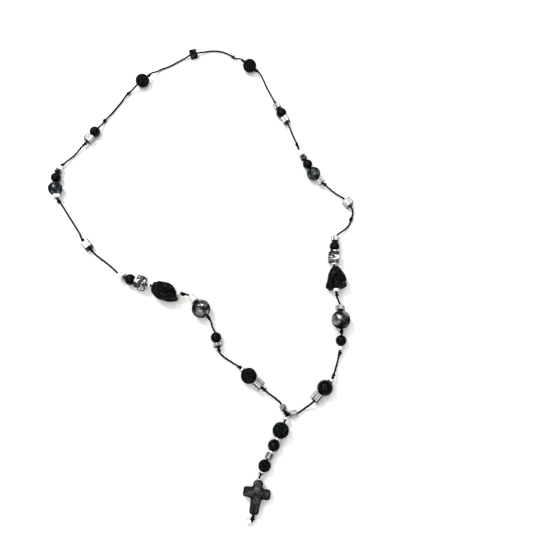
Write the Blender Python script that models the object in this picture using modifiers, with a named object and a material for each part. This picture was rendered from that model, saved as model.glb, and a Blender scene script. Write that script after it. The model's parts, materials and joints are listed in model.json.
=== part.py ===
"""Stone-bead rosary on a waxed cord, laid out flat.

A loop of cord carries rows of beads between knots. Both ends of the loop meet in the centre knot,
and a pendant of five beads and a stone cross hangs from it. The cord is made in links, which meet
end to end where it bends, so each link turns on its neighbour. Every bead turns on the cord.
The layout is in millimetres, with +Y running from the cross towards the top of the loop.
"""

from math import asin, ceil, cos, pi, radians, sin

import bmesh
import bpy
from mathutils import Matrix, Vector

MM = 0.001

# driving sizes, in millimetres
CORD = 1.0              # diameter of the waxed cord
HOLE = 1.7              # hole through every bead
GAP = 0.3               # between neighbours that touch
KNOT = 2.5              # diameter of a knot
KNOT_HALF = 1.2         # half the length of a knot
CENTRE_KNOT = 2.9       # diameter of the knot that joins the loop and the pendant
CORD_STEP = 2.3         # spacing of the cord's points
CORD_TIP = 0.2          # a link's ends are pointed, down to this share of the cord, so they can turn
ROUND_SIDES = 12        # sides of a turned bead
SMALL_BALL = 6.0
MIDDLE_BALL = 8.0
LARGE_BALL = 9.6
CROSS = (15.0, 12.8, 4.4)       # length, width and thickness of the stone cross
CROSS_ARM_AT = 5.6              # from the top of the cross to the middle of its arms
CROSS_ARM = 4.8                 # height of an arm
CROSS_TOP_WIDTH = 4.3
CROSS_FOOT_WIDTH = 4.2

# the object's origin, measured in the layout below
ORIGIN = (-37.07, 12.47)

# Where links of the cord meet: x, y, height, heading in degrees. The loop closes in two ways at
# once. SIDE carries the left and right sides, and SLANT carries the lower left and the top, so
# opposite links stay parallel and equal.
SIDE = (10.4, 79.5)
SLANT = (70.6, -56.4)
CENTRE = (9.85, -75.5, 2.1)
RIGHT_FOOT = (35.3, -51.5, 0.8, 252)
RIGHT_TOP = (RIGHT_FOOT[0] + SIDE[0], RIGHT_FOOT[1] + SIDE[1], 0.8, 237)
LEFT_FOOT = (-103.4, 23.4, 0.8, 124)
LEFT_TOP = (LEFT_FOOT[0] + SIDE[0], LEFT_FOOT[1] + SIDE[1], 0.8, 58)
LOWER_LEFT_END = (-86.8, 5.4, 0.8, 141)
LOWER_LEFT_START = (LOWER_LEFT_END[0] + SLANT[0], LOWER_LEFT_END[1] + SLANT[1], 3.1, 139)
TOP_START = (-54.6, 142.4, 0.8, 36)
TOP_END = (TOP_START[0] + SLANT[0], TOP_START[1] + SLANT[1], 0.9, 290)
TOP_FOLD = (-50.3, 145.0, 1.2, 26)
PENDANT_LIFT = (8.88, -79.54, 4.12, 250)
CROSS_SWING = (-3.2, -104.9, 2.4, 254)

# A row is ("row", x, y, heading, height in, height out, main item, items), placed by its main item.
# An item is a bead (name, kind, length, width, roll in degrees), a knot, or a number, which is a
# stretch of open cord.
ROUTES = {
    "centre": [
        ("end", *RIGHT_FOOT),
        ("knot", 33.3, -57.3, 3.3, KNOT),
        ("row", 28.9, -63.3, 229, 4.0, 4.1, 1, [
            1.5,
            ("onyx_right_4", "ball", MIDDLE_BALL, MIDDLE_BALL, 0),
            ("silver_cube_right_7", "cube", 4.2, 4.2, 35)]),
        ("via", 18.7, -72.9, 1.4),
        ("row", 13.1, -75.6, 188, 1.9, 2.0, 0, [
            ("silver_cube_right_8", "cube", 3.3, 3.3, 0)]),
        ("knot", *CENTRE, CENTRE_KNOT),
        ("row", 8.1, -72.6, 114, 2.0, 1.8, 0, [
            ("hematite_cube_left_1", "cube", 2.7, 2.7, 20)]),
        ("via", 4.9, -68.3, 1.2),
        ("row", -8.8, -57.3, 138, 4.0, 4.1, 2, [
            "knot",
            ("silver_cube_left_1", "cube", 4.2, 4.2, 35),
            ("lava_left_1", "ball", MIDDLE_BALL, MIDDLE_BALL, 0),
            1.0,
            "knot"]),
        ("end", *LOWER_LEFT_START)],
    "lower_left": [
        ("end", *LOWER_LEFT_START),
        ("via", -20.4, -47.9, 1.5),
        ("row", -25.8, -37.2, 104, 2.9, 3.0, 2, [
            "knot",
            ("silver_cube_left_2", "cube", 1.9, 4.2, 20),
            ("onyx_left_1", "ball", 5.6, 5.6, 0)]),
        ("via", -27.9, -31.6, 2.8),
        ("row", -33.9, -22.3, 130, 4.8, 4.9, 1, [
            "knot",
            ("pearl_left_1", "ball", LARGE_BALL, LARGE_BALL, 0),
            ("silver_cube_left_3", "cube", 4.0, 4.0, 40)]),
        ("row", -53.8, -11.3, 165, 4.8, 4.8, 2, [
            "knot",
            2.4,
            ("tourmaline_nugget_left", "nugget", 14.2, 10.6, 0),
            2.1]),
        ("row", -72.2, -5.6, 160, 4.6, 3.45, 1, [
            ("quartz_cube_left", "cube", 6.0, 6.0, 30),
            ("onyx_left_2", "ball", SMALL_BALL, SMALL_BALL, 0)]),
        ("row", -76.95, -3.25, 145, 3.3, 2.3, 0, [
            ("silver_cube_left_4", "cube", 3.4, 3.9, 30)]),
        ("via", -82.2, 1.5, 0.9),
        ("end", *LOWER_LEFT_END)],
    "left_middle": [
        ("end", *LOWER_LEFT_END),
        ("row", -97.6, 15.0, 131, 2.5, 2.5, 1, [
            "knot",
            ("silver_cube_left_5", "cube", 4.4, 4.8, 0),
            "knot"]),
        ("end", *LEFT_FOOT)],
    "left_side": [
        ("end", *LEFT_FOOT),
        ("via", -109.4, 32.2, 0.8),
        ("knot", -116.0, 41.8, 3.1, KNOT),
        ("row", -119.1, 49.6, 105, 3.85, 4.0, 1, [
            ("silver_cube_left_6", "cube", 2.2, 3.6, 25),
            ("hematite_left_1", "ball", 7.8, 7.8, 0)]),
        ("row", -119.7, 56.9, 84, 3.8, 2.6, 0, [
            ("onyx_left_3", "ball", 5.8, 5.8, 0),
            ("hematite_left_2", "ball", 1.9, 4.0, 0),
            ("silver_cube_left_7", "cube", 2.5, 3.4, 20)]),
        ("knot", -117.6, 66.2, 1.9, KNOT),
        ("via", -111.9, 73.2, 1.0),
        ("knot", -106.3, 80.1, 2.5, KNOT),
        ("row", -100.9, 88.3, 58, 3.1, 3.2, 1, [
            ("silver_cube_left_8", "cube", 4.4, 4.6, 15),
            ("onyx_left_4", "ball", 6.2, 6.2, 0)]),
        ("knot", -96.4, 97.1, 1.4, KNOT),
        ("end", *LEFT_TOP)],
    "top_left": [
        ("end", *LEFT_TOP),
        ("via", -88.4, 110.4, 0.8),
        ("knot", -83.9, 117.4, 1.4, KNOT),
        ("row", -75.6, 124.8, 47, 4.1, 4.2, 0, [
            ("lava_left_2", "ball", 8.2, 8.2, 0),
            "knot"]),
        ("via", -66.6, 135.0, 1.0),
        ("via", -60.4, 138.4, 0.8),
        ("end", *TOP_START)],
    "top_stub": [
        ("end", *TOP_START),
        ("end", *TOP_FOLD)],
    "top": [
        ("end", *TOP_FOLD),
        ("row", -45.7, 146.8, 18, 2.3, 2.3, 0, [
            ("hematite_cube_top", "cube", 4.4, 4.4, 0)]),
        ("via", -37.6, 150.0, 0.9),
        ("via", -31.4, 150.5, 0.8),
        ("via", -26.0, 149.0, 0.9),
        ("knot", -20.9, 145.2, 1.5, KNOT),
        ("row", -10.4, 136.2, 317, 4.1, 4.2, 1, [
            "knot",
            ("lava_top", "ball", 8.2, 8.2, 0),
            "knot"]),
        ("via", 0.4, 121.6, 0.8),
        ("row", 8.9, 101.6, 296, 3.1, 3.1, 2, [
            "knot",
            ("silver_cube_right_1", "cube", 3.6, 3.8, 30),
            ("onyx_right_1", "ball", 6.2, 6.2, 0),
            ("silver_cube_right_2", "cube", 4.2, 4.2, 20)]),
        ("end", *TOP_END)],
    "right_high": [
        ("end", *TOP_END),
        ("knot", 18.0, 80.2, 1.4, KNOT),
        ("row", 23.6, 65.8, 295, 2.7, 3.6, 2, [
            ("silver_cube_right_3", "cube", 3.6, 3.8, 15),
            ("hematite_right_1", "ball", 3.2, 3.8, 0),
            ("onyx_right_2", "ball", 5.6, 5.6, 0)]),
        ("row", 26.8, 59.3, 303, 3.9, 4.0, 0, [
            ("hematite_right_2", "ball", 7.7, 7.7, 0)]),
        ("row", 30.55, 54.6, 318, 3.8, 3.1, 0, [
            ("silver_cube_right_4", "cube", 3.0, 3.6, 25),
            "knot"]),
        ("via", 39.0, 47.9, 1.2),
        ("row", 45.6, 41.2, 306, 2.4, 2.4, 0, [
            ("silver_cube_right_5", "cube", 4.4, 4.6, 0)]),
        ("via", 48.3, 36.0, 1.0),
        ("knot", 47.1, 31.5, 1.4, KNOT),
        ("end", *RIGHT_TOP)],
    "right_side": [
        ("end", *RIGHT_TOP),
        ("via", 38.1, 20.4, 2.9),
        ("row", 36.9, 13.9, 264, 3.3, 3.5, 1, [
            ("silver_cube_right_6", "cube", 2.8, 3.8, 20),
            ("onyx_right_5", "ball", 5.5, 5.5, 0),
            ("quartz_cube_right", "cube", 6.0, 6.0, 8)]),
        ("row", 36.4, -4.3, 272, 3.8, 4.6, 1, [
            1.8,
            ("tourmaline_drop_right", "drop", 13.4, 10.4, 0),
            2.0,
            "knot"]),
        ("row", 38.3, -28.2, 271, 4.85, 4.8, 1, [
            ("silver_cube_right_9", "cube", 2.6, 3.8, 40),
            ("pearl_right_1", "ball", LARGE_BALL, LARGE_BALL, 0),
            "knot"]),
        ("row", 38.0, -39.0, 263, 4.45, 2.6, 0, [
            ("onyx_right_3", "ball", 5.6, 5.6, 0),
            2.0]),
        ("knot", 37.0, -45.5, 2.5, KNOT),
        ("end", *RIGHT_FOOT)],
    "pendant_link": [
        ("end", 9.48, -77.06, 3.9, 256),
        ("row", 9.17, -78.3, 256, 3.93, 4.05, 0, [
            ("silver_bead_pendant", "ball", 1.1, 2.9, 0)]),
        ("end", *PENDANT_LIFT)],
    "pendant": [
        ("end", *PENDANT_LIFT),
        ("row", 6.85, -83.85, 244.5, 4.27, 2.85, 0, [
            ("lava_pendant_1", "ball", MIDDLE_BALL, MIDDLE_BALL, 0),
            0.8,
            ("onyx_pendant", "ball", 5.9, 5.9, 0),
            0.8,
            ("hematite_drum_pendant", "drum", 3.2, 3.6, 0),
            ("lava_pendant_2", "ball", SMALL_BALL, SMALL_BALL, 0),
            1.4]),
        ("end", *CROSS_SWING)],
    "cross": [
        ("end", *CROSS_SWING),
        ("row", -4.8, -114.1, 261, 2.35, 2.25, 1, [
            0.9,
            ("stone_cross", "cross", CROSS[0], CROSS[1], 0),
            "knot"]),
        ("row", -8.2, -124.7, 192, 1.75, 1.6, 0, [
            ("silver_cube_pendant", "cube", 2.5, 2.5, 0)]),
        ("end", -10.2, -125.15, 1.5, 192)],
}

# link: the link it turns on, and where it turns
LINKS = {
    "centre": (None, None),
    "lower_left": ("centre", LOWER_LEFT_START),
    "left_middle": ("lower_left", LOWER_LEFT_END),
    "left_side": ("left_middle", LEFT_FOOT),
    "top_left": ("left_side", LEFT_TOP),
    "top_stub": ("top_left", TOP_START),
    "top": ("top_stub", TOP_FOLD),
    "right_side": ("centre", RIGHT_FOOT),
    "right_high": ("right_side", RIGHT_TOP),
    "pendant_link": ("centre", CENTRE),
    "pendant": ("pendant_link", PENDANT_LIFT),
    "cross": ("pendant", CROSS_SWING),
}

# colour, roughness, metallic
FINISHES = {
    "cord": ((0.012, 0.012, 0.013), 0.6, 0.0),
    "lava": ((0.022, 0.024, 0.027), 0.85, 0.0),
    "onyx": ((0.006, 0.006, 0.007), 0.12, 0.0),
    "pearl": ((0.18, 0.18, 0.17), 0.18, 0.9),
    "hematite": ((0.10, 0.12, 0.14), 0.25, 0.8),
    "silver": ((0.72, 0.72, 0.69), 0.3, 1.0),
    "quartz": ((0.62, 0.63, 0.61), 0.15, 0.0),
    "tourmaline": ((0.010, 0.011, 0.012), 0.5, 0.0),
    "stone": ((0.06, 0.058, 0.065), 0.75, 0.0),
}


def point(x, y, z):
    """A layout point in the object's frame, in metres."""
    return Vector(((x - ORIGIN[0]) * MM, (y - ORIGIN[1]) * MM, z * MM))


def towards(heading):
    """The level direction of a heading in degrees."""
    return Vector((cos(radians(heading)), sin(radians(heading)), 0.0))


def laid_row(x, y, heading, z_in, z_out, main, items):
    """A straight row: its two ends, its direction, its beads and its knots with their centres."""
    places, along, last = [], 0.0, 0
    for item in items:
        if not isinstance(item, (int, float)) and not isinstance(last, (int, float)):
            along += GAP
        length = item
        if item == "knot":
            length = 2 * KNOT_HALF
        elif isinstance(item, tuple):
            length = item[2]
        places.append((item, along + length / 2))
        along += length
        last = item
    level = towards(heading) * MM
    start = point(x, y, z_in) - level * places[main][1]
    finish = start + level * along + Vector((0, 0, (z_out - z_in) * MM))
    beads = [(b, start.lerp(finish, d / along)) for b, d in places if isinstance(b, tuple)]
    knots = [start.lerp(finish, d / along) for b, d in places if b == "knot"]
    return start, finish, (finish - start).normalized(), beads, knots


def stations(route):
    """A route as straight pieces: start, finish, direction, and knots (centre, diameter)."""
    places = []
    for kind, *values in route:
        if kind == "row":
            start, finish, way, _, knots = laid_row(*values)
            places.append([start, finish, way, [(at, KNOT) for at in knots]])
        elif kind == "end":
            at = point(*values[:3])
            places.append([at, at.copy(), towards(values[3]), []])
        else:
            at = point(*values[:3])
            places.append([at, at.copy(), None, [(at, values[3])] if kind == "knot" else []])
    for k, place in enumerate(places):
        if place[2] is None:
            way = places[k + 1][0] - places[k - 1][1]
            way.z = 0.0
            place[2] = way.normalized()
            if place[3]:
                place[0] = place[0] - place[2] * KNOT_HALF * MM
                place[1] = place[1] + place[2] * KNOT_HALF * MM
    return places


def bend(start, way_in, finish, way_out):
    """Points of a smooth free stretch between two straight pieces, without its two ends."""
    span = (finish - start).length
    count = max(2, ceil(span / (CORD_STEP * MM)))
    points = []
    for k in range(1, count):
        t = k / count
        a = 2 * t**3 - 3 * t**2 + 1
        b = t**3 - 2 * t**2 + t
        c = -2 * t**3 + 3 * t**2
        d = t**3 - t**2
        points.append(start * a + way_in * (span * b) + finish * c + way_out * (span * d))
    return points


def cord_points(route):
    """The cord's points along a route, each with its thickness as a multiple of the cord's."""
    places = stations(route)
    first, last = places[0], places[-1]
    tip = GAP / 2 * MM
    full = tip + CORD / 2 * MM
    tube_start = first[0] + first[2] * full
    tube_finish = last[1] - last[2] * full
    points = [(first[0] + first[2] * tip, CORD_TIP), (tube_start, 1.0)]
    for k, (start, finish, way, knots) in enumerate(places[:-1]):
        if k > 0:
            points.append((start, 1.0))
            for centre, diameter in knots:
                swell = diameter / CORD - 1
                half = way * KNOT_HALF * MM
                if (centre - half - start).length > 0.1 * MM:
                    points.append((centre - half, 1.0))
                points.append((centre - half * 0.55, 1 + swell * 0.75))
                points.append((centre, 1 + swell))
                points.append((centre + half * 0.55, 1 + swell * 0.75))
                if (centre + half - finish).length > 0.1 * MM:
                    points.append((centre + half, 1.0))
            if finish != start:
                points.append((finish, 1.0))
        near = tube_start if k == 0 else finish
        far = tube_finish if k == len(places) - 2 else places[k + 1][0]
        points += [(p, 1.0) for p in bend(near, way, far, places[k + 1][2])]
    points.append((tube_finish, 1.0))
    points.append((last[1] - last[2] * tip, CORD_TIP))
    return points


def material(name):
    """The stone, metal or cord that a piece's name starts with."""
    kind = name.split("_")[0]
    found = bpy.data.materials.get(kind)
    if found:
        return found
    colour, roughness, metallic = FINISHES[kind]
    made = bpy.data.materials.new(kind)
    made.use_nodes = True
    made.diffuse_color = (*colour, 1.0)
    shader = made.node_tree.nodes["Principled BSDF"]
    shader.inputs["Base Color"].default_value = (*colour, 1.0)
    shader.inputs["Roughness"].default_value = roughness
    shader.inputs["Metallic"].default_value = metallic
    return made


def baked(made):
    """The finished mesh of a temporary object, which is removed."""
    graph = bpy.context.evaluated_depsgraph_get()
    mesh = bpy.data.meshes.new_from_object(made.evaluated_get(graph))
    bpy.data.objects.remove(made)
    return mesh


def temporary(name, data):
    made = bpy.data.objects.new(name, data)
    bpy.context.scene.collection.objects.link(made)
    return made


def turned(profile):
    """A profile at +X, turned about Z."""
    mesh = bpy.data.meshes.new("turned")
    count = len(profile)
    edges = [(k, (k + 1) % count) for k in range(count)]
    mesh.from_pydata([(r * MM, 0, z * MM) for r, z in profile], edges, [])
    made = temporary("turned", mesh)
    screw = made.modifiers.new("turn", "SCREW")
    screw.axis = "Z"
    screw.steps = screw.render_steps = ROUND_SIDES
    screw.use_merge_vertices = True
    screw.merge_threshold = 0.00001
    return baked(made)


def ball_mesh(length, width):
    """A round bead with its hole along Z."""
    radius = width / 2
    rows = 6 if width > 5 else 4
    begin = asin(HOLE / 2 / radius)
    angles = [begin + (pi - 2 * begin) * k / rows for k in range(rows + 1)]
    return turned([(radius * sin(a), length / 2 * cos(a)) for a in angles])


def drum_mesh(length, width):
    """A squat faceted drum with its hole along Z."""
    radius, half, hole = width / 2, length / 2, HOLE / 2
    return turned([
        (hole, half), (radius * 0.72, half), (radius, half * 0.45),
        (radius, -half * 0.45), (radius * 0.72, -half), (hole, -half)])


def bored(mesh, length):
    """A mesh with the cord's hole cut through it along Z."""
    body = temporary("body", mesh)
    bore = bpy.data.meshes.new("bore")
    shape = bmesh.new()
    bmesh.ops.create_cone(
        shape, cap_ends=True, segments=ROUND_SIDES, radius1=HOLE / 2 * MM,
        radius2=HOLE / 2 * MM, depth=(length + 6) * MM)
    shape.to_mesh(bore)
    shape.free()
    cutter = temporary("bore", bore)
    cutter.hide_render = True
    cutter.display_type = "WIRE"
    cut = body.modifiers.new("hole", "BOOLEAN")
    cut.operation = "DIFFERENCE"
    cut.object = cutter
    bpy.context.view_layer.update()
    mesh = baked(body)
    bpy.data.objects.remove(cutter)
    return mesh


def cube_mesh(length, width):
    """A square bead with worn edges and its hole along Z."""
    mesh = bpy.data.meshes.new("cube")
    shape = bmesh.new()
    bmesh.ops.create_cube(shape, size=1.0)
    bmesh.ops.scale(shape, vec=Vector((width, width, length)) * MM, verts=shape.verts)
    bmesh.ops.bevel(
        shape, geom=shape.edges[:], offset=0.35 * MM, segments=1, affect="EDGES",
        clamp_overlap=True)
    shape.to_mesh(mesh)
    shape.free()
    return bored(mesh, length)


def stone_mesh(length, width, outline, ribs, offset, lean):
    """A rough stone along the Z axis, with offset more of it on one side of the cord, and ends that
    lean; outline gives its half width at a height from -1 to 1."""
    mesh = bpy.data.meshes.new("stone")
    shape = bmesh.new()
    bmesh.ops.create_uvsphere(shape, u_segments=14, v_segments=9, radius=1.0)
    for vert in shape.verts:
        x, y, z = vert.co
        across = (x * x + y * y) ** 0.5
        squared = max(abs(x), abs(y), 1e-6) / max(across, 1e-6)
        reach = outline(z) * (1 + 0.05 * sin(ribs * 3.1 * x + 2.0 * z)) / (0.25 + 0.75 * squared)
        end = 1.0 - 0.06 * across * sin(4 * x + 1)
        out = x * width * 0.46 * reach + offset
        up = (abs(z) ** 0.6) * (1 if z > 0 else -1) * length / 2 * end - lean * out
        vert.co = Vector((out, y * width * 0.42 * reach, up)) * MM
    shape.to_mesh(mesh)
    shape.free()
    return bored(mesh, length)


def nugget_mesh(length, width):
    """A blunt ribbed nugget, with more of it on one side of the cord."""
    return stone_mesh(length, width, lambda z: 1.0 - 0.06 * z, 2, 1.4, 0.2)


def drop_mesh(length, width):
    """A drop-shaped nugget that widens along the cord."""
    return stone_mesh(length, width, lambda z: 0.78 + 0.3 * z, 1, 0.4, 0.08)


def cross_mesh(length, width):
    """A Latin cross with worn corners, its stem along Z from the top, and its hole along the stem."""
    half, arm, thick = length / 2, CROSS_ARM / 2, CROSS[2]
    top, foot, side = CROSS_TOP_WIDTH / 2, CROSS_FOOT_WIDTH / 2, width / 2
    up, down = -half + CROSS_ARM_AT - arm, -half + CROSS_ARM_AT + arm
    right = [
        (top - 0.7, -half), (top, -half + 0.9), (top + 0.2, up), (side - 0.6, up + 0.2),
        (side, up + 0.9), (side, down - 0.9), (side - 0.6, down - 0.2), (top + 0.5, down),
        (foot, half - 0.9), (foot - 0.7, half)]
    outline = right + [(-x, y) for x, y in reversed(right)]
    curve = bpy.data.curves.new("cross", "CURVE")
    curve.dimensions = "2D"
    curve.fill_mode = "BOTH"
    curve.extrude = thick / 2 * MM
    spline = curve.splines.new("POLY")
    spline.points.add(len(outline) - 1)
    for spot, (x, y) in zip(spline.points, outline):
        spot.co = (x * MM, y * MM, 0.0, 1.0)
    spline.use_cyclic_u = True
    mesh = baked(temporary("cross", curve))
    shape = bmesh.new()
    shape.from_mesh(mesh)
    bmesh.ops.remove_doubles(shape, verts=shape.verts, dist=0.00001)
    bmesh.ops.dissolve_limit(
        shape, angle_limit=radians(1), verts=shape.verts, edges=shape.edges)
    rims = [e for e in shape.edges if abs(e.verts[0].co.z - e.verts[1].co.z) < 0.00001]
    bmesh.ops.bevel(
        shape, geom=rims, offset=0.7 * MM, segments=2, affect="EDGES", clamp_overlap=True)
    bmesh.ops.rotate(
        shape, cent=(0, 0, 0), matrix=Matrix.Rotation(radians(90), 3, "X"), verts=shape.verts)
    shape.to_mesh(mesh)
    shape.free()
    return bored(mesh, length)


MAKERS = {
    "ball": ball_mesh,
    "drum": drum_mesh,
    "cube": cube_mesh,
    "nugget": nugget_mesh,
    "drop": drop_mesh,
    "cross": cross_mesh,
}


def cord_object(name, route, turns_at):
    """One link of the cord, with its origin where it turns on the link before it."""
    origin = point(*turns_at[:3]) if turns_at else Vector((0, 0, 0))
    curve = bpy.data.curves.new(name, "CURVE")
    curve.dimensions = "3D"
    curve.bevel_depth = CORD / 2 * MM
    curve.bevel_resolution = 2
    curve.use_fill_caps = True
    spline = curve.splines.new("POLY")
    points = cord_points(route)
    spline.points.add(len(points) - 1)
    for spot, (at, thickness) in zip(spline.points, points):
        spot.co = (*(at - origin), 1.0)
        spot.radius = thickness
    made = bpy.data.objects.new(name, curve)
    made.location = origin
    curve.materials.append(material(name))
    return made, origin


def bead_mesh(shape, length, width, finish, meshes):
    """The mesh of a kind of bead, made once for each size and material."""
    key = (shape, length, width, finish.name)
    if key not in meshes:
        mesh = MAKERS[shape](length, width)
        mesh.materials.clear()
        mesh.materials.append(finish)
        if shape in ("ball", "drum"):
            mesh.shade_smooth()
            mesh.set_sharp_from_angle(angle=radians(50))
        meshes[key] = mesh
    return meshes[key]


def string_beads(cord, origin, route, collection, meshes):
    """Puts a link's beads on it, each turned to lie along the cord."""
    for kind, *values in route:
        if kind != "row":
            continue
        _, _, way, beads, _ = laid_row(*values)
        for (name, shape, length, width, roll), centre in beads:
            mesh = bead_mesh(shape, length, width, material(name), meshes)
            made = bpy.data.objects.new(name, mesh)
            turn = Matrix.Rotation(radians(roll), 3, "Z").to_quaternion()
            made.rotation_mode = "QUATERNION"
            made.rotation_quaternion = way.to_track_quat("Z", "Y") @ turn
            made.parent = cord
            made.location = centre - origin
            collection.objects.link(made)


def main():
    for old in list(bpy.data.objects):
        bpy.data.objects.remove(old)
    collection = bpy.data.collections.new("rosary")
    bpy.context.scene.collection.children.link(collection)
    meshes = {}
    cords = {}
    for name, (holder, turns_at) in LINKS.items():
        cord, origin = cord_object("cord_" + name, ROUTES[name], turns_at)
        if holder:
            cord.parent = cords[holder][0]
            cord.location = origin - cords[holder][1]
        cords[name] = (cord, origin)
        collection.objects.link(cord)
        string_beads(cord, origin, ROUTES[name], collection, meshes)


main()
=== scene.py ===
import json
from math import asin, ceil, cos, pi, radians, sin, sqrt

import bmesh
import bpy
from mathutils import Matrix, Vector, noise


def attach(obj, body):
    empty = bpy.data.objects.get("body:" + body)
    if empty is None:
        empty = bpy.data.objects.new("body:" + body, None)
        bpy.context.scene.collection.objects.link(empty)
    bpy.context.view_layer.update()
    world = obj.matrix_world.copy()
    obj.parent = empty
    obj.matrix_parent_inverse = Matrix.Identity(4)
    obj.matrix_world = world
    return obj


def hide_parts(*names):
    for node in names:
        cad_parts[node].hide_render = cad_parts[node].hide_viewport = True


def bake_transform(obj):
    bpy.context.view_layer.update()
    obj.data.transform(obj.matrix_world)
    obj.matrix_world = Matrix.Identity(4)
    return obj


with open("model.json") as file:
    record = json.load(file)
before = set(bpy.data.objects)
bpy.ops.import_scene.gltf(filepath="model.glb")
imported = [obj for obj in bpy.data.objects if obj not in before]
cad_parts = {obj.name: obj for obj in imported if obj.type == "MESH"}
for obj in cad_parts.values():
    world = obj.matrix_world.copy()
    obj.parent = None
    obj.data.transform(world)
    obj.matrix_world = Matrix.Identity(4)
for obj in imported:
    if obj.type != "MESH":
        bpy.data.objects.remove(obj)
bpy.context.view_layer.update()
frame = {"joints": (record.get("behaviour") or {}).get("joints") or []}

MM = 0.001
HOLE = 1.7              # hole through every bead
GAP = 0.3               # between neighbours that touch
KNOT = 2.5              # diameter of a knot
KNOT_HALF = 1.2         # half the length of a knot
CENTRE_KNOT = 2.9       # diameter of the knot that joins the loop and the pendant
CORD_STEP = 2.3         # spacing of the cord's points
SMALL_BALL = 6.0
MIDDLE_BALL = 8.0
LARGE_BALL = 9.6
CROSS = (15.0, 12.8, 4.4)       # length, width and thickness of the stone cross
CROSS_ARM_AT = 5.6              # from the top of the cross to the middle of its arms
CROSS_ARM = 4.8                 # height of an arm
CROSS_TOP_WIDTH = 4.3
CROSS_FOOT_WIDTH = 4.2
CARVED_THICKNESS = 4.3          # between the cross's flat faces, before its surface is roughened
UNDERSIDE = 4.25                # a rough stone's flat underside lies this far below its hole
ORIGIN = (-37.07, 12.47)

# Looks of the cord, in millimetres
PLIES = 3
PLY_RADIUS = 0.50
PLY_RELIEF = 0.035
PLY_TWIST = 2.1                 # radians to a millimetre of cord
KNOT_PLY_RADIUS = 0.47
KNOT_PLY_RELIEF = 0.03
PATH_STEP = 0.45
KNOT_PATH_STEP = 0.14
KNOT_SIZE = 0.74                # radius of a knot's turns
CENTRE_KNOT_SIZE = 1.05


# ---------------------------------------------------------------- the layout, as in the model
# Where links of the cord meet: x, y, height, heading in degrees. The loop closes in two ways at
# once. SIDE carries the left and right sides, and SLANT carries the lower left and the top, so
# opposite links stay parallel and equal.
SIDE = (10.4, 79.5)
SLANT = (70.6, -56.4)
CENTRE = (9.85, -75.5, 2.1)
RIGHT_FOOT = (35.3, -51.5, 0.8, 252)
RIGHT_TOP = (RIGHT_FOOT[0] + SIDE[0], RIGHT_FOOT[1] + SIDE[1], 0.8, 237)
LEFT_FOOT = (-103.4, 23.4, 0.8, 124)
LEFT_TOP = (LEFT_FOOT[0] + SIDE[0], LEFT_FOOT[1] + SIDE[1], 0.8, 58)
LOWER_LEFT_END = (-86.8, 5.4, 0.8, 141)
LOWER_LEFT_START = (LOWER_LEFT_END[0] + SLANT[0], LOWER_LEFT_END[1] + SLANT[1], 3.1, 139)
TOP_START = (-54.6, 142.4, 0.8, 36)
TOP_END = (TOP_START[0] + SLANT[0], TOP_START[1] + SLANT[1], 0.9, 290)
TOP_FOLD = (-50.3, 145.0, 1.2, 26)
PENDANT_LIFT = (8.88, -79.54, 4.12, 250)
CROSS_SWING = (-3.2, -104.9, 2.4, 254)

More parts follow.
